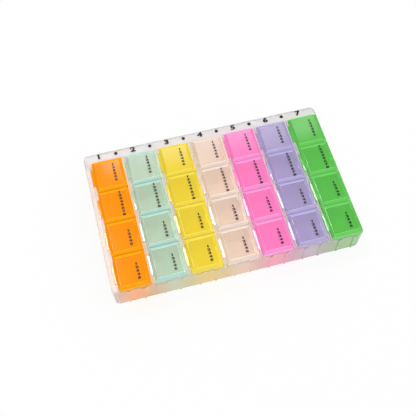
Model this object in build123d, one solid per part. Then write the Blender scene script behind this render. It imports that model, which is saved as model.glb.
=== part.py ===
from build123d import *
from math import hypot, radians, tan
import os

# Weekly pill organizer: one clear moulded tray with 28 cells, and 28 hinged lids.
# X runs along the seven day columns, Y towards the header strip, Z up, in millimetres.
# The origin is the centre of the flat underside.

# Layout
columns = 7
rows = 4
lid_width = 27.0             # across a column, hinge edge to free edge
lid_length = 30.2            # along the hinge
column_gap = 3.0             # between the lids of neighbouring days
row_gap = 0.5                # between the lids of one day

# Tray
tray_height = 23.5           # underside to rim
left_margin = 5.0            # outer face to the first hinge axis
right_margin = 1.4           # last lid to outer face
front_margin = 0.9           # front lid to outer face
header_depth = 10.5          # back lid to outer face, the plain marking strip
tray_corner = 4.5
draft_angle = 1.0            # degrees, for release from the mould
floor_thickness = 1.2
wall_thickness = 1.2         # where the underside is cored out
deck_thickness = 1.6
rim_break = 0.4

# Cells
cell_corner = 1.5            # upright corners, cut at 45 degrees
left_ledge = 0.8             # from a hinge axis to the left wall of its cell
front_ledge = 0.3            # how far a lid's front skirt stands over the front wall
back_ledge = 2.3             # from a lid's back edge to the back wall of its cell
right_ledge = 1.6            # from a lid's free edge to the right wall of its cell

# Lids
lid_rise = 4.0               # top of a closed lid above the rim
lid_wall = 1.2
lid_corner = 1.1             # free corners, cut at 45 degrees in plan
bevel_width = 2.7
bevel_height = 1.2

# Hinges
axis_height = 1.65           # hinge axis above the rim
hinge_gap = 0.6              # hinge axis to the lid's hinge edge
rod_radius = 0.65
rod_fit = 0.07               # radial running clearance in the barrel
barrel_length = 17.0         # in the middle of the lid's hinge edge
barrel_reach = 1.15          # hinge axis to the outer side and the underside
barrel_rise = 1.2            # top beside the lid, above the hinge axis
barrel_chamfer = 0.35        # lower corners
land_start = 0.4             # the top falls outwards from here
land_width = 1.4
land_slope = 12.0            # degrees
seat_sides = 12              # flats round the rod, a multiple of four
snap_width = 1.1             # mouth under the barrel, narrower than the rod
snap_lip = 0.4               # height of the lips at the mouth
lug_width = 1.4              # the lugs that carry the rod
lug_rise = 0.7               # above the hinge axis
lug_break = 0.25             # upper edges
lug_side_gap = 0.3           # lug to barrel, along the axis
lug_clearance = 0.4          # lug to the lid's hinge edge, which is cut back there

# Stop ribs
stop_clearance = 0.15        # rib to the barrels turning beside it and to the lid before it
stop_height = 2.0            # above the rim

# Lid tongue, which grips the right wall of the cell
tongue_length = 12.5
tongue_thickness = 1.5
tongue_reach = 1.8           # below the rim
tongue_clearance = 0.3

# Locating nibs under each front skirt, and their notches
nib_offset = 6.65            # from the middle of the lid
nib_top_width = 3.2
nib_bottom_width = 1.4
nib_reach = 2.2              # below the rim
notch_clearance = 0.3

# Shallow ribs on the front face, one under each front nib
front_rib_width = 1.4
front_rib_depth = 0.3

overlap = 0.2                # how far joined forms run into each other
opening_cut = 1.0            # how far a cutter runs past an open face

column_pitch = lid_width + column_gap
row_pitch = lid_length + row_gap
tray_length = left_margin + hinge_gap + columns * column_pitch - column_gap + right_margin
tray_depth = front_margin + rows * row_pitch - row_gap + header_depth
overall_depth = tray_depth + front_rib_depth
left_face = -tray_length / 2
front_face = -overall_depth / 2 + front_rib_depth
back_face = front_face + tray_depth
axis_z = tray_height + axis_height
lid_middle = hinge_gap + lid_width / 2
barrel_sweep = hypot(barrel_reach, barrel_reach - barrel_chamfer)
cut_back = lug_width / 2 + lug_clearance
cell_left = left_ledge
cell_right = hinge_gap + lid_width - right_ledge
cell_front = -lid_length / 2 + front_ledge
cell_back = lid_length / 2 - back_ledge


def hinge_x(column):
    """Hinge axis of a day column, counted from 0 at the left."""
    return left_face + left_margin + column * column_pitch


def row_y(row):
    """Middle of a row of lids, counted from 0 at the back."""
    return front_face + front_margin + lid_length / 2 + (rows - 1 - row) * row_pitch


def block(x0, x1, y0, y1, z0, z1):
    """Straight block between two corners."""
    middle = ((x0 + x1) / 2, (y0 + y1) / 2, (z0 + z1) / 2)
    return Pos(*middle) * Box(x1 - x0, y1 - y0, z1 - z0)


def along_y(profile, length):
    """Extrude a profile drawn in X and Z by a length centred on Y = 0."""
    return extrude(Plane.XZ * profile, amount=length / 2, both=True)


def along_x(profile, start, length):
    """Extrude a profile drawn in Y and Z by a length from X = start."""
    return Pos(start, 0, 0) * extrude(Plane.YZ * profile, amount=length)


def tray_shell():
    """Outer body, drafted inwards towards the underside, with the rim edge broken."""
    centre = (0, (front_face + back_face) / 2, tray_height)
    rim_plane = Plane(origin=centre, x_dir=(1, 0, 0), z_dir=(0, 0, -1))
    outline = RectangleRounded(tray_length, tray_depth, tray_corner)
    body = extrude(rim_plane * outline, amount=tray_height, taper=draft_angle)
    rim = body.faces().sort_by(Axis.Z)[-1]
    return chamfer(rim.edges(), length=rim_break)


def cell_well(column, row):
    """The hollow of one cell."""
    x = hinge_x(column)
    y = row_y(row)
    centre = (x + (cell_left + cell_right) / 2, y + (cell_front + cell_back) / 2, floor_thickness)
    outline = Rectangle(cell_right - cell_left, cell_back - cell_front)
    outline = chamfer(outline.vertices(), length=cell_corner)
    return extrude(Pos(*centre) * outline, amount=tray_height)


def underside_channel(column):
    """Slot cored out from below on the left of a column of cells."""
    x = hinge_x(column)
    lost = tray_height * tan(radians(draft_angle))
    right = x + cell_left - wall_thickness
    left = x - column_pitch + cell_right + wall_thickness if column else left_face + wall_thickness + lost
    front = front_face + wall_thickness + lost
    back = row_y(0) + cell_back + wall_thickness + overlap
    return block(left, right, front, back, -opening_cut, tray_height - deck_thickness)


def header_hollow():
    """Space under the header strip, open below."""
    lost = tray_height * tan(radians(draft_angle))
    side = -left_face - wall_thickness - lost
    front = row_y(0) + cell_back + wall_thickness
    back = back_face - wall_thickness - lost
    return block(-side, side, front, back, -opening_cut, tray_height - deck_thickness)


def hinge_rail(column):
    """Rod along a column's hinge axis, carried by lugs at the ends of every lid."""
    length = rows * row_pitch - row_gap - 2 * wall_thickness
    middle = (row_y(0) + row_y(rows - 1)) / 2
    rail = Pos(hinge_x(column), middle, axis_z) * along_y(Circle(rod_radius), length)
    return rail + [lug(column, start, end) for start, end in lug_spans()]


def lug_spans():
    """Front and back of each lug: one at either end of a column and one between every two barrels."""
    half = barrel_length / 2 + lug_side_gap
    front = row_y(rows - 1) - lid_length / 2
    back = row_y(0) + lid_length / 2
    starts = [front] + [row_y(row) + half for row in reversed(range(rows))]
    ends = [row_y(row) - half for row in reversed(range(rows))] + [back]
    return zip(starts, ends)


def lug(column, start, end):
    """Upright lug on the deck that carries the rod, flat on top with broken edges."""
    side = lug_width / 2
    foot = -axis_height - overlap
    corners = [(-side, foot), (side, foot), (side, lug_rise - lug_break), (side - lug_break, lug_rise),
               (lug_break - side, lug_rise), (-side, lug_rise - lug_break)]
    place = Pos(hinge_x(column), (start + end) / 2, axis_z)
    return place * along_y(make_face(Polyline(*corners, close=True)), end - start)


def stop_rib(column):
    """Low rib beside a column's hinges, where an opened lid comes to rest."""
    x = hinge_x(column)
    right = x - barrel_sweep - stop_clearance
    left = x + hinge_gap - column_gap + stop_clearance
    front = row_y(rows - 1) - lid_length / 2
    back = row_y(0) + lid_length / 2
    return block(left, right, front, back, tray_height - overlap, tray_height + stop_height)


def nib_places():
    """The two nibs of a lid, measured from its hinge axis."""
    return [lid_middle - nib_offset, lid_middle + nib_offset]


def nib_notch(column, row, place):
    """Notch in the wall below a nib. Its sides leave room for the nib to swing up."""
    x = hinge_x(column) + place
    y = row_y(row)
    half = nib_top_width / 2 + notch_clearance
    front = y - lid_length / 2 - front_margin - front_rib_depth - overlap
    back = y + cell_front + overlap
    return block(x - half, x + half, front, back,
                 tray_height - nib_reach - notch_clearance, tray_height + opening_cut)


def front_rib(column, place):
    """Shallow upright rib on the front face under a nib."""
    x = hinge_x(column) + place
    half = front_rib_width / 2
    top = tray_height - nib_reach - notch_clearance
    return block(x - half, x + half, front_face - front_rib_depth, front_face + wall_thickness / 2, 0, top)


def tray():
    """The whole clear moulding."""
    cells = [(column, row) for column in range(columns) for row in range(rows)]
    body = tray_shell() - header_hollow()
    body = body - [underside_channel(column) for column in range(columns)]
    body = body + [front_rib(column, place) for column in range(columns) for place in nib_places()]
    body = body + [stop_rib(column) for column in range(columns)]
    body = body + [hinge_rail(column) for column in range(columns)]
    body = body - [cell_well(column, row) for column, row in cells]
    return body - [nib_notch(column, row, place) for column, row in cells for place in nib_places()]


def bevelled_section(width):
    """Cross-section of the lid: upright sides, a bevel each side and a flat top."""
    top = lid_rise - axis_height
    half = width / 2
    corners = [(-half, -axis_height), (half, -axis_height), (half, top - bevel_height),
               (half - bevel_width, top), (bevel_width - half, top), (-half, top - bevel_height)]
    return make_face(Polyline(*corners, close=True))


def lid_cap():
    """Skirt, bevels and flat top as a solid. In plan only the free corners are cut off."""
    outline = Pos(lid_middle, 0) * Rectangle(lid_width, lid_length)
    free_corners = outline.vertices().group_by(Axis.X)[-1]
    plan = Pos(0, 0, -axis_height) * chamfer(free_corners, length=lid_corner)
    across = Pos(lid_middle, 0, 0) * along_y(bevelled_section(lid_width), lid_length)
    along = along_x(bevelled_section(lid_length), hinge_gap, lid_width)
    return extrude(plan, amount=lid_rise) & across & along


def lid_barrel():
    """Barrel in the middle of the hinge edge, drawn about the axis, with a top that falls outwards."""
    inside = hinge_gap + lid_wall
    low = barrel_reach - barrel_chamfer
    land_end = land_start - land_width
    land_low = barrel_rise - land_width * tan(radians(land_slope))
    shoulder = land_low - (barrel_reach + land_end)
    corners = [(inside, barrel_rise), (land_start, barrel_rise), (land_end, land_low), (-barrel_reach, shoulder),
               (-barrel_reach, -low), (-low, -barrel_reach), (inside, -barrel_reach)]
    return along_y(make_face(Polyline(*corners, close=True)), barrel_length)


def snap_slot():
    """Slot in the barrel: a seat in flats round the rod, straight sides, and lips at the mouth."""
    seat = rod_radius + rod_fit
    lip_top = -barrel_reach + snap_lip
    round_seat = RegularPolygon(seat, seat_sides, major_radius=False, rotation=180 / seat_sides)
    slot = round_seat + Pos(0, lip_top / 2) * Rectangle(2 * seat, -lip_top)
    mouth = Pos(0, -barrel_reach) * Rectangle(snap_width, 2 * barrel_reach)
    return along_y(slot + mouth, barrel_length + opening_cut)


def lug_relief(side):
    """What is cut from the hinge edge beside the barrel, on side 1 or -1, so that it clears a lug."""
    start = side * barrel_length / 2
    end = side * (lid_length + opening_cut) / 2
    return block(0, cut_back, min(start, end), max(start, end), -lid_rise, lid_rise)


def lid_hollow():
    """Inside of the lid, open below. The hinge edge stays a full wall thick behind the cut-back ends."""
    left = cut_back + lid_wall
    right = hinge_gap + lid_width - lid_wall
    side = lid_length / 2 - lid_wall
    ceiling = lid_rise - bevel_height - axis_height
    return block(left, right, -side, side, -axis_height - opening_cut, ceiling)


def lid_tongue():
    """Upright tongue inside the free edge that grips the cell's right wall."""
    right = cell_right - tongue_clearance
    bottom = -axis_height - tongue_reach
    ceiling = lid_rise - bevel_height - axis_height
    half = tongue_length / 2
    return block(right - tongue_thickness, right, -half, half, bottom, ceiling + overlap)


def lid_nib(place):
    """Tapered nib hanging from the front skirt."""
    top = -axis_height
    half_top = nib_top_width / 2
    half_bottom = nib_bottom_width / 2
    corners = [(place - half_top, top), (place - half_bottom, top - nib_reach),
               (place + half_bottom, top - nib_reach), (place + half_top, top)]
    front = -lid_length / 2
    outline = Plane.XZ * make_face(Polyline(*corners, close=True))
    return Pos(0, front + lid_wall, 0) * extrude(outline, amount=lid_wall)


def lid():
    """One lid about its hinge axis: X = 0 and Z = 0 on the axis, Y = 0 in the middle."""
    body = lid_cap() - lid_hollow()
    body = body + lid_barrel() - snap_slot()
    body = body - [lug_relief(side) for side in (-1, 1)]
    body = body + lid_tongue()
    return body + [lid_nib(place) for place in nib_places()]


def write(shape, name, colour):
    """Write one piece under its own name."""
    shape.label = name
    shape.color = colour
    export_step(shape, f"parts/{name}.step")


tray_colour = Color(0.93, 0.93, 0.92)
day_colours = [
    Color(0.99, 0.60, 0.10),
    Color(0.66, 0.83, 0.80),
    Color(0.93, 0.83, 0.25),
    Color(0.90, 0.82, 0.73),
    Color(0.99, 0.52, 0.75),
    Color(0.66, 0.61, 0.79),
    Color(0.38, 0.76, 0.36),
]

os.makedirs("parts", exist_ok=True)
write(tray(), "tray", tray_colour)
one_lid = lid()
for column in range(columns):
    for row in range(rows):
        place = Pos(hinge_x(column), row_y(row), axis_z)
        write(place * one_lid, f"lid_day{column + 1}_dose{row + 1}", day_colours[column])
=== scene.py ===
import math

import bmesh
import bpy
from mathutils import Matrix, Vector


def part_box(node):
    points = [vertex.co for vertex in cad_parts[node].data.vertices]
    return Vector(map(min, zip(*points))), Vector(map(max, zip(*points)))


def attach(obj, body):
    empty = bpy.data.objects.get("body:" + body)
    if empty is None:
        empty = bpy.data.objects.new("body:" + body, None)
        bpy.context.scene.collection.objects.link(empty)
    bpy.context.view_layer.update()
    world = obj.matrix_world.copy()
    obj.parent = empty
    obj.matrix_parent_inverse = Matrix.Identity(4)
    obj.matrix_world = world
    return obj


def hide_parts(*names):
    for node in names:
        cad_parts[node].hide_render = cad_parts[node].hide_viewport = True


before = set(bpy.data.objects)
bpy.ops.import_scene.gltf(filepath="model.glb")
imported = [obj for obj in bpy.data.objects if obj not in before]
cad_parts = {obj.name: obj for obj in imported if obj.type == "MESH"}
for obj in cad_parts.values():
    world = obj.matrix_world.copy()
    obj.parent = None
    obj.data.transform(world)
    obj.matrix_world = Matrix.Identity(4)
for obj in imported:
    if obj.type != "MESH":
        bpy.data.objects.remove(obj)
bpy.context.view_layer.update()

MM = 0.001
DAYS = 7
DOSES = 4

# Camera, fitted to the grid of lids in the photograph
CAMERA_PLACE = Vector((-85.0, -277.2, 549.5)) * MM
CAMERA_AZIMUTH = math.radians(15.06)
CAMERA_ELEVATION = math.radians(62.29)
CAMERA_ROLL = math.radians(0.2)
FOCAL_PIXELS = 700
PHOTO_PIXELS = 416
SENSOR_WIDTH = 36
CLIP_START = 10 * MM

# Rounded edges of the lids: size and steps, which edges get it, and how much of it
LID_EDGE = 0.45 * MM
LID_EDGE_STEPS = 3
SHARP_ANGLE = math.radians(10)
LONG_EDGE = 18 * MM
SHORT_EDGE = 5 * MM
SHORT_EDGE_SHARE = 0.25
SIDE_EDGE_SHARE = 0.45
MERGE_DISTANCE = 0.001 * MM
FLAT_ANGLE = math.radians(1)

# Upward part of a face's direction, by which a lid's sides, slopes and top edges are told apart
UPRIGHT = 0.1
SLOPE_LOW = 0.9
TOP_EDGE_LOW = 0.93
SLOPE_HIGH = 0.96
SLOPE_AREA = 30 * MM * MM

# Print on the lids: a column of plain numbers, right of the middle
DIGIT_COUNTS = [6, 8, 5, 5]
STACK_SHIFTS = [1.1 * MM, 0.1 * MM, -2.2 * MM, -2.2 * MM]
STACK_OFFSET = 5.0 * MM
LID_HALF_WIDTH = 13.5 * MM
DIGIT_HEIGHT = 1.9 * MM
DIGIT_PITCH = 3.15 * MM
DIGIT_BOLD = 0.17 * MM
DIGIT_WIDEN = 1.9
DIGIT_SHARE = 0.7
DIGIT_CURVE_STEPS = 3
INK_LIFT = 0.015 * MM
INK_DEPTH = 0.005 * MM

# Marks on the header strip, which lies level with the deck
DECK_HEIGHT = 23.5 * MM
DAY_DIGIT_HEIGHT = 4.4 * MM
DAY_DIGIT_BOLD = 0.34 * MM
DAY_DIGIT_WIDEN = 1.4
DOT_RADIUS = 1.6 * MM
DOT_SIDES = 24
MARK_INSET = 3.8 * MM
FIRST_MARK_X = -93.4 * MM
MARK_PITCH = 30.7 * MM

# Material slots of a lid: its body, its rounded edges, and its front and back slopes; the edges and
# slopes get lighter copies of the body's plastic, a painted highlight and painted light
BODY = 0
RIM = 1
SLOPE = 2

# Plastics, one colour for each day
LID_NAMES = ["orange", "aqua", "yellow", "clear", "pink", "lavender", "green"]
LID_COLOURS = [
    (1.0, 0.42, 0.0),
    (0.637, 0.787, 0.675),
    (0.9, 0.755, 0.07),
    (0.895, 0.785, 0.69),
    (1.0, 0.31, 0.67),
    (0.575, 0.515, 0.78),
    (0.165, 0.635, 0.125),
]
# Lighter colours for the rounded edges and the upright front and back sides: a painted highlight, which
# also paints light into the gaps between lids
RIM_HIGHLIGHT_COLOURS = [
    (1.0, 0.53, 0.01),
    (0.53, 0.86, 0.85),
    (0.98, 0.85, 0.14),
    (0.97, 0.88, 0.82),
    (1.0, 0.53, 0.9),
    (0.61, 0.57, 0.89),
    (0.26, 0.84, 0.22),
]
LID_TRANSMISSIONS = [0.5, 0.66, 0.5, 0.66, 0.5, 0.66, 0.5]
RIM_TRANSMISSION = 0.2
# Front and back slopes: a lighter, less clear copy of the body's plastic, which is painted light
SLOPE_TRANSMISSION = 0.55
SLOPE_HIGHLIGHT_SHARE = 0.3
CLEAR_COLOUR = (0.9, 0.885, 0.89)
CLEAR_TRANSMISSION = 0.6
PLASTIC_IOR = 1.45
LAMP_TINT = 0.25
LID_ROUGHNESS = (0.07, 0.1)
RIM_ROUGHNESS = (0.1, 0.14)
TRAY_ROUGHNESS = (0.16, 0.24)
LID_CLOUDING = 0.03
TRAY_CLOUDING = 0.02

# Printed ink
INK_COLOUR = (0.012, 0.008, 0.008)
INK_ROUGHNESS = (0.45, 0.6)
INK_MOTTLING = 0.5

# Noise in the materials: features per metre with their detail, the values it is read between,
# and the unevenness
CLOUD_NOISE = (90, 2)
SATIN_NOISE = (400, 3)
GRAIN_NOISE = (1500, 3)
MOTTLE_NOISE = (2500, 2)
NOISE_LOW = 0.3
NOISE_HIGH = 0.7
GRAIN_STRENGTH = 0.02
GRAIN_HEIGHT = 0.02 * MM

# Painted light: the coloured glow that the lids above cast into the tray below its deck, painted into
# the tray's colour
TRAY_LEFT = -107 * MM
TRAY_RIGHT = 107 * MM
FIRST_DAY_X = -87.9 * MM
DAY_PITCH = 30 * MM
GLOW_SHARE = 0.48
GLOW_WARMTH = (1.06, 0.98, 0.88)
GLOW_TOP = 25.5 * MM
GLOW_FULL = 21.5 * MM
GLOW_BACK = 57 * MM
GLOW_GONE = 60 * MM
# Painted warm glow of the neighbouring lids on the tray's left and right edges
MARGIN_GLOW = (0.91, 0.79, 0.715)
RIGHT_GLOW_SHARE = 0.42

# Light: even surroundings, a far soft box up at the back left that shines on the lids' barrels,
# and a narrow, dimmer panel at the back that shows in the lids beside the header strip
WORLD_STRENGTH = 0.83
WORLD_SLANT = 0.4
WORLD_REFLECTED = 0.15
BOX_PLACE = Vector((-1.269, 2.042, 4.327))
BOX_ALONG = Vector((0.954, -0.04, 0.298))
BOX_LENGTH = 1.78
BOX_WIDTH = 0.64
BOX_POWER = 90
PANEL_PLACE = Vector((0.72, 2.64, 4.16))
PANEL_ALONG = Vector((0.991, -0.086, -0.1))
PANEL_LENGTH = 1.75
PANEL_WIDTH = 0.14
PANEL_POWER = 3.6
LIGHT_BOUNCES = 24

# Floor
FLOOR_HALF = 4
FLOOR_DROP = 0.02 * MM
FLOOR_COLOUR = (0.85, 0.85, 0.85)
FLOOR_ROUGHNESS = 0.9
FLOOR_GLOW = 0.85
FLOOR_GLOW_INSIDE = 0.15


def lid_node(day, dose):
    """Name of a lid's CAD node, days and doses counted from 1."""
    return f"lid_day{day}_dose{dose}"


def link(piece):
    """Put a new object in the scene."""
    bpy.context.scene.collection.objects.link(piece)
    return piece


def new_material(name):
    """Material with a fresh principled shader, and its nodes and links."""
    material = bpy.data.materials.new(name)
    material.use_nodes = True
    nodes = material.node_tree.nodes
    return material, nodes, material.node_tree.links, nodes["Principled BSDF"]


def noise(nodes, links, scale_detail):
    """Noise over the object's own coordinates, by its scale and detail."""
    place = nodes.new("ShaderNodeTexCoord")
    texture = nodes.new("ShaderNodeTexNoise")
    texture.inputs["Scale"].default_value = scale_detail[0]
    texture.inputs["Detail"].default_value = scale_detail[1]
    links.new(place.outputs["Object"], texture.inputs["Vector"])
    return texture.outputs["Fac"]


def spread(nodes, links, value, low_high):
    """Map a noise value to a range."""
    ramp = nodes.new("ShaderNodeMapRange")
    ramp.inputs["From Min"].default_value = NOISE_LOW
    ramp.inputs["From Max"].default_value = NOISE_HIGH
    ramp.inputs["To Min"].default_value = low_high[0]
    ramp.inputs["To Max"].default_value = low_high[1]
    links.new(value, ramp.inputs["Value"])
    return ramp.outputs["Result"]


def shade(nodes, links, colour, depth, value):
    """Colour that darkens by up to the given depth with a noise value."""
    mix = nodes.new("ShaderNodeMix")
    mix.data_type = "RGBA"
    mix.inputs["A"].default_value = (*[c * (1 - depth) for c in colour], 1)
    mix.inputs["B"].default_value = (*colour, 1)
    links.new(value, mix.inputs["Factor"])
    return mix.outputs["Result"]


def mixed(first, second, share):
    """Colour between two others, with the given share of the second."""
    return [own + (other - own) * share for own, other in zip(first, second)]


def product(nodes, links, first, second):
    """Product of two sockets, or of a socket and a number."""
    times = nodes.new("ShaderNodeMath")
    times.operation = "MULTIPLY"
    links.new(first, times.inputs[0])
    if isinstance(second, (int, float)):
        times.inputs[1].default_value = second
    else:
        links.new(second, times.inputs[1])
    return times.outputs[0]


def total(nodes, links, first, second):
    """Sum of two sockets, or of a socket and a number."""
    plus = nodes.new("ShaderNodeMath")
    plus.operation = "ADD"
    links.new(first, plus.inputs[0])
    if isinstance(second, (int, float)):
        plus.inputs[1].default_value = second
    else:
        links.new(second, plus.inputs[1])
    return plus.outputs[0]


def grain(nodes, links, shader):
    """Fine unevenness of a moulded surface."""
    bump = nodes.new("ShaderNodeBump")
    bump.inputs["Strength"].default_value = GRAIN_STRENGTH
    bump.inputs["Distance"].default_value = GRAIN_HEIGHT
    links.new(noise(nodes, links, GRAIN_NOISE), bump.inputs["Height"])
    links.new(bump.outputs["Normal"], shader.inputs["Normal"])


def lamp_clear(nodes, links, shader, tint):
    """Let lamps shine through: a shadow ray passes the face with its tint."""
    film = nodes.new("ShaderNodeBsdfTransparent")
    film.inputs["Color"].default_value = (*tint, 1)
    path = nodes.new("ShaderNodeLightPath")
    mix = nodes.new("ShaderNodeMixShader")
    links.new(path.outputs["Is Shadow Ray"], mix.inputs[0])
    links.new(shader.outputs[0], mix.inputs[1])
    links.new(film.outputs[0], mix.inputs[2])
    links.new(mix.outputs[0], nodes["Material Output"].inputs["Surface"])


def painted_day_glow(nodes, links):
    """Painted light: the pale coloured glow of the day columns across the tray, and its share, which
    fades at deck and header.
    """
    place = nodes.new("ShaderNodeTexCoord")
    parts = nodes.new("ShaderNodeSeparateXYZ")
    links.new(place.outputs["Object"], parts.inputs[0])
    across = nodes.new("ShaderNodeMapRange")
    across.inputs["From Min"].default_value = TRAY_LEFT
    across.inputs["From Max"].default_value = TRAY_RIGHT
    links.new(parts.outputs["X"], across.inputs["Value"])
    ramp = nodes.new("ShaderNodeValToRGB")
    stops = ramp.color_ramp.elements
    stops.remove(stops[1])
    stops[0].position = 0
    stops[0].color = (*MARGIN_GLOW, 1)
    for day, colour in enumerate(LID_COLOURS):
        stop = stops.new((FIRST_DAY_X + day * DAY_PITCH - TRAY_LEFT) / (TRAY_RIGHT - TRAY_LEFT))
        pale = mixed(CLEAR_COLOUR, colour, GLOW_SHARE)
        stop.color = (*[warm * own for warm, own in zip(GLOW_WARMTH, pale)], 1)
    last = stops.new(1)
    last.color = (*mixed(CLEAR_COLOUR, LID_COLOURS[-1], RIGHT_GLOW_SHARE), 1)
    links.new(across.outputs["Result"], ramp.inputs["Fac"])
    below = nodes.new("ShaderNodeMapRange")
    below.inputs["From Min"].default_value = GLOW_TOP
    below.inputs["From Max"].default_value = GLOW_FULL
    links.new(parts.outputs["Z"], below.inputs["Value"])
    forward = nodes.new("ShaderNodeMapRange")
    forward.inputs["From Min"].default_value = GLOW_GONE
    forward.inputs["From Max"].default_value = GLOW_BACK
    links.new(parts.outputs["Y"], forward.inputs["Value"])
    share = product(nodes, links, below.outputs["Result"], forward.outputs["Result"])
    return ramp.outputs["Color"], share


def paint_lid_glow_on_tray(material):
    """Paint the day columns' coloured glow, painted light from the lids, into the tray's plastic colour.
    """
    nodes = material.node_tree.nodes
    links = material.node_tree.links
    colour_socket = nodes["Principled BSDF"].inputs["Base Color"]
    plain = colour_socket.links[0].from_socket
    glow_colours, share = painted_day_glow(nodes, links)
    mix = nodes.new("ShaderNodeMix")
    mix.data_type = "RGBA"
    links.new(share, mix.inputs["Factor"])
    links.new(plain, mix.inputs["A"])
    links.new(glow_colours, mix.inputs["B"])
    links.new(mix.outputs["Result"], colour_socket)


def moulded_plastic(name, colour, transmission, roughness, clouding):
    """Translucent moulded plastic with cloudy tint and satin patches."""
    material, nodes, links, shader = new_material(name)
    shader.inputs["IOR"].default_value = PLASTIC_IOR
    shader.inputs["Transmission Weight"].default_value = transmission
    cloud = noise(nodes, links, CLOUD_NOISE)
    links.new(shade(nodes, links, colour, clouding, cloud), shader.inputs["Base Color"])
    satin = noise(nodes, links, SATIN_NOISE)
    links.new(spread(nodes, links, satin, roughness), shader.inputs["Roughness"])
    grain(nodes, links, shader)
    lamp_clear(nodes, links, shader, [channel ** LAMP_TINT for channel in colour])
    return material


def ink_material():
    """Black pad-printed ink, slightly uneven."""
    material, nodes, links, shader = new_material("printed_ink")
    mottle = noise(nodes, links, MOTTLE_NOISE)
    links.new(shade(nodes, links, INK_COLOUR, INK_MOTTLING, mottle), shader.inputs["Base Color"])
    links.new(spread(nodes, links, mottle, INK_ROUGHNESS), shader.inputs["Roughness"])
    return material


def edge_weight(edge):
    """How much of the rounding an edge of a lid gets."""
    bent = edge.is_convex and edge.calc_face_angle(0) > SHARP_ANGLE
    length = edge.calc_length()
    if not bent or length <= SHORT_EDGE:
        return 0
    if length <= LONG_EDGE:
        return SHORT_EDGE_SHARE
    along = edge.verts[1].co - edge.verts[0].co
    on_top = min(face.normal.z for face in edge.link_faces) > SLOPE_LOW
    return SIDE_EDGE_SHARE if on_top and abs(along.y) > abs(along.x) else 1


def plastic_slot(polygon):
    """Slot of a lid's face. The upright front and back sides get the rim's lighter colour, painted light
    that keeps the gaps between lids light.
    """
    normal = polygon.normal
    if abs(normal.y) < abs(normal.x) or polygon.area < SLOPE_AREA:
        return BODY
    if abs(normal.z) < UPRIGHT:
        return RIM
    return SLOPE if 0 < normal.z < SLOPE_HIGH else BODY


def calm_sides(mesh):
    """Give the rounded left and right edges of a lid's top the body's plastic, without the rim's painted
    highlight.
    """
    for polygon in mesh.polygons:
        normal = polygon.normal
        sideways = abs(normal.x) > abs(normal.y)
        if polygon.material_index == RIM and normal.z > TOP_EDGE_LOW and sideways:
            polygon.material_index = BODY


def softened_copy(node, name, plastics):
    """Copy of a CAD node's mesh with its long edges rounded, which stands for the node."""
    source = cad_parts[node]
    form = bmesh.new()
    form.from_mesh(source.data)
    bmesh.ops.remove_doubles(form, verts=form.verts, dist=MERGE_DISTANCE)
    bmesh.ops.dissolve_limit(form, angle_limit=FLAT_ANGLE, verts=form.verts, edges=form.edges)
    weight = form.edges.layers.float.new("bevel_weight_edge")
    for edge in form.edges:
        edge[weight] = edge_weight(edge)
    mesh = bpy.data.meshes.new(name)
    form.to_mesh(mesh)
    form.free()
    mesh.materials.clear()
    for plastic in plastics:
        mesh.materials.append(plastic)
    for polygon in mesh.polygons:
        polygon.use_smooth = False
        polygon.material_index = plastic_slot(polygon)
    piece = link(bpy.data.objects.new(name, mesh))
    bevel = piece.modifiers.new("edges", "BEVEL")
    bevel.width = LID_EDGE
    bevel.segments = LID_EDGE_STEPS
    bevel.limit_method = "WEIGHT"
    # The rounded edges get the rim plastic with its painted highlight
    bevel.material = RIM
    shape = piece.evaluated_get(bpy.context.evaluated_depsgraph_get())
    piece.data = bpy.data.meshes.new_from_object(shape)
    piece.modifiers.clear()
    calm_sides(piece.data)
    return piece


def numbers(name, digits, place, ink, height, bold, widen):
    """Plain bold numbers one above the other, reading upright from the front."""
    curve = bpy.data.curves.new(name, "FONT")
    curve.body = "\n".join(digits)
    curve.align_x = "CENTER"
    curve.align_y = "CENTER"
    curve.size = height / DIGIT_SHARE
    curve.space_line = DIGIT_PITCH / curve.size
    curve.extrude = INK_DEPTH
    curve.offset = bold
    curve.resolution_u = DIGIT_CURVE_STEPS
    curve.materials.append(ink)
    piece = link(bpy.data.objects.new(name, curve))
    piece.location = place
    piece.scale.x = widen
    return piece


def dot(name, place, ink):
    """Round printed dot."""
    form = bmesh.new()
    bmesh.ops.create_circle(form, cap_ends=True, segments=DOT_SIDES, radius=DOT_RADIUS)
    mesh = bpy.data.meshes.new(name)
    form.to_mesh(mesh)
    form.free()
    mesh.materials.append(ink)
    piece = link(bpy.data.objects.new(name, mesh))
    piece.location = place
    return piece


def day_plastics(day):
    """A day's plastics: for the lid's body, for its rounded edges with a painted highlight and for its
    front and back slopes with painted light.
    """
    tint = LID_NAMES[day - 1]
    colour = LID_COLOURS[day - 1]
    edge_painted_highlight = RIM_HIGHLIGHT_COLOURS[day - 1]
    slope_painted_light = mixed(colour, edge_painted_highlight, SLOPE_HIGHLIGHT_SHARE)
    clear = LID_TRANSMISSIONS[day - 1]
    slope_clear = clear * SLOPE_TRANSMISSION
    return [
        moulded_plastic(f"{tint}_plastic", colour, clear, LID_ROUGHNESS, LID_CLOUDING),
        # Lighter plastics: painted highlight on the rounded edges, painted light on the slopes
        moulded_plastic(f"{tint}_rim_highlight", edge_painted_highlight, RIM_TRANSMISSION, RIM_ROUGHNESS, LID_CLOUDING),
        moulded_plastic(f"{tint}_lit_slope", slope_painted_light, slope_clear, LID_ROUGHNESS, LID_CLOUDING),
    ]


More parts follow.
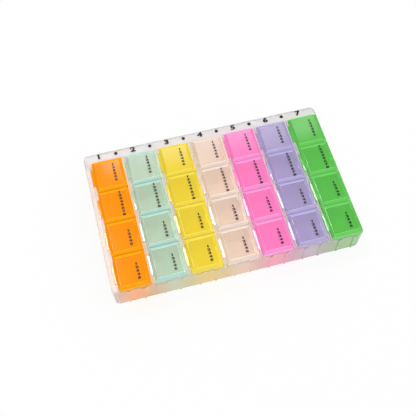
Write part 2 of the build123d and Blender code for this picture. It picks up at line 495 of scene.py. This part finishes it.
def lid_numbers(node, day, dose, ink):
    """Column of plain numbers on top of a lid, right of its middle."""
    low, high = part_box(node)
    middle = Vector((high.x - LID_HALF_WIDTH, (low.y + high.y) / 2, high.z + INK_LIFT))
    place = middle + Vector((STACK_OFFSET, STACK_SHIFTS[dose - 1], 0))
    digits = [str(n + 1) for n in range(DIGIT_COUNTS[dose - 1])]
    name = f"numbers_day{day}_dose{dose}"
    return numbers(name, digits, place, ink, DIGIT_HEIGHT, DIGIT_BOLD, DIGIT_WIDEN)


def dress_lids(ink):
    """Give every lid its tinted form and its column of numbers."""
    for day in range(1, DAYS + 1):
        tint = LID_NAMES[day - 1]
        plastics = day_plastics(day)
        for dose in range(1, DOSES + 1):
            node = lid_node(day, dose)
            cap = softened_copy(node, f"{tint}_cap_{dose}", plastics)
            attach(cap, node)
            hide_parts(node)
            stack = lid_numbers(node, day, dose, ink)
            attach(stack, node)


def mark_place(steps, back):
    """Place on the header strip, the given number of pitches from the first mark."""
    return Vector((FIRST_MARK_X + steps * MARK_PITCH, back - MARK_INSET, DECK_HEIGHT + INK_LIFT))


def dress_tray(ink):
    """Clear frosted plastic for the tray, with the lids' coloured glow painted in below its deck, and
    plain marks on its header strip.
    """
    plastic = moulded_plastic("frosted_clear_plastic_painted_glow", CLEAR_COLOUR, CLEAR_TRANSMISSION,
                              TRAY_ROUGHNESS, TRAY_CLOUDING)
    # Paints the lids' coloured light into the tray's colour below the deck
    paint_lid_glow_on_tray(plastic)
    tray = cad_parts["tray"]
    tray.data.materials.clear()
    tray.data.materials.append(plastic)
    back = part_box("tray")[1].y
    for day in range(DAYS):
        mark = numbers(f"day_number_{day + 1}", [str(day + 1)], mark_place(day, back), ink,
                       DAY_DIGIT_HEIGHT, DAY_DIGIT_BOLD, DAY_DIGIT_WIDEN)
        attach(mark, "tray")
    for gap in range(DAYS - 1):
        spot = dot(f"dot_{gap + 1}", mark_place(gap + 0.5, back), ink)
        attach(spot, "tray")


def camera():
    """Camera at the photograph's viewing angle."""
    data = bpy.data.cameras.new("camera")
    data.sensor_width = SENSOR_WIDTH
    data.lens = FOCAL_PIXELS * SENSOR_WIDTH / PHOTO_PIXELS
    data.clip_start = CLIP_START
    piece = link(bpy.data.objects.new("camera", data))
    turn = Matrix.Rotation(-CAMERA_AZIMUTH, 4, "Z")
    tilt = Matrix.Rotation(math.pi / 2 - CAMERA_ELEVATION, 4, "X")
    roll = Matrix.Rotation(CAMERA_ROLL, 4, "Z")
    piece.matrix_world = Matrix.Translation(CAMERA_PLACE) @ turn @ tilt @ roll
    bpy.context.scene.camera = piece


def mirrored(nodes, links, path):
    """1 for a ray that was reflected and not passed on through a clear face, else 0."""
    outside = total(nodes, links, product(nodes, links, path.outputs["Is Transmission Ray"], -1), 1)
    return product(nodes, links, path.outputs["Is Glossy Ray"], outside)


def surroundings():
    """White surroundings, a little brighter on the right, which reflections see at a lower strength."""
    world = bpy.data.worlds.new("surroundings")
    bpy.context.scene.world = world
    world.use_nodes = True
    nodes = world.node_tree.nodes
    links = world.node_tree.links
    path = nodes.new("ShaderNodeLightPath")
    seen = product(nodes, links, path.outputs["Is Camera Ray"], 1 - WORLD_STRENGTH)
    reflected = product(nodes, links, mirrored(nodes, links, path), WORLD_REFLECTED - WORLD_STRENGTH)
    place = nodes.new("ShaderNodeTexCoord")
    parts = nodes.new("ShaderNodeSeparateXYZ")
    links.new(place.outputs["Generated"], parts.inputs[0])
    matt = product(nodes, links, path.outputs["Is Diffuse Ray"], WORLD_SLANT)
    slant = product(nodes, links, parts.outputs["X"], matt)
    even = total(nodes, links, total(nodes, links, seen, reflected), WORLD_STRENGTH)
    strength = total(nodes, links, even, slant)
    nodes["Background"].inputs["Color"].default_value = (1, 1, 1, 1)
    links.new(strength, nodes["Background"].inputs["Strength"])


def soft_box(name, place, direction, length, width, power):
    """Large far lamp, turned to face the part with its long side in the given direction."""
    lamp = bpy.data.lights.new(name, "AREA")
    lamp.shape = "RECTANGLE"
    lamp.size = length
    lamp.size_y = width
    lamp.energy = power
    away = place.normalized()
    along = (direction - away * direction.dot(away)).normalized()
    across = away.cross(along)
    turn = Matrix((along, across, away)).transposed().to_4x4()
    piece = link(bpy.data.objects.new(name, lamp))
    piece.matrix_world = Matrix.Translation(place) @ turn


def floor():
    """Floor that is white to the camera and keeps a faint shadow."""
    mesh = bpy.data.meshes.new("floor")
    half = FLOOR_HALF
    corners = [(-half, -half, 0), (half, -half, 0), (half, half, 0), (-half, half, 0)]
    mesh.from_pydata(corners, [], [(0, 1, 2, 3)])
    piece = link(bpy.data.objects.new("floor", mesh))
    piece.location.z = -FLOOR_DROP
    material, nodes, links, shader = new_material("floor_white")
    shader.inputs["Base Color"].default_value = (*FLOOR_COLOUR, 1)
    shader.inputs["Roughness"].default_value = FLOOR_ROUGHNESS
    glow = nodes.new("ShaderNodeEmission")
    path = nodes.new("ShaderNodeLightPath")
    seen = total(nodes, links, path.outputs["Is Camera Ray"], mirrored(nodes, links, path))
    inside = product(nodes, links, path.outputs["Is Transmission Ray"], FLOOR_GLOW_INSIDE)
    share = total(nodes, links, product(nodes, links, seen, FLOOR_GLOW), inside)
    mix = nodes.new("ShaderNodeMixShader")
    links.new(share, mix.inputs[0])
    links.new(shader.outputs[0], mix.inputs[1])
    links.new(glow.outputs[0], mix.inputs[2])
    links.new(mix.outputs[0], nodes["Material Output"].inputs["Surface"])
    mesh.materials.append(material)


bpy.context.scene.view_settings.view_transform = "Standard"
bpy.context.scene.cycles.max_bounces = LIGHT_BOUNCES
bpy.context.scene.cycles.transmission_bounces = LIGHT_BOUNCES
black_ink = ink_material()
camera()
surroundings()
soft_box("soft_box", BOX_PLACE, BOX_ALONG, BOX_LENGTH, BOX_WIDTH, BOX_POWER)
soft_box("back_panel", PANEL_PLACE, PANEL_ALONG, PANEL_LENGTH, PANEL_WIDTH, PANEL_POWER)
floor()
dress_tray(black_ink)
dress_lids(black_ink)
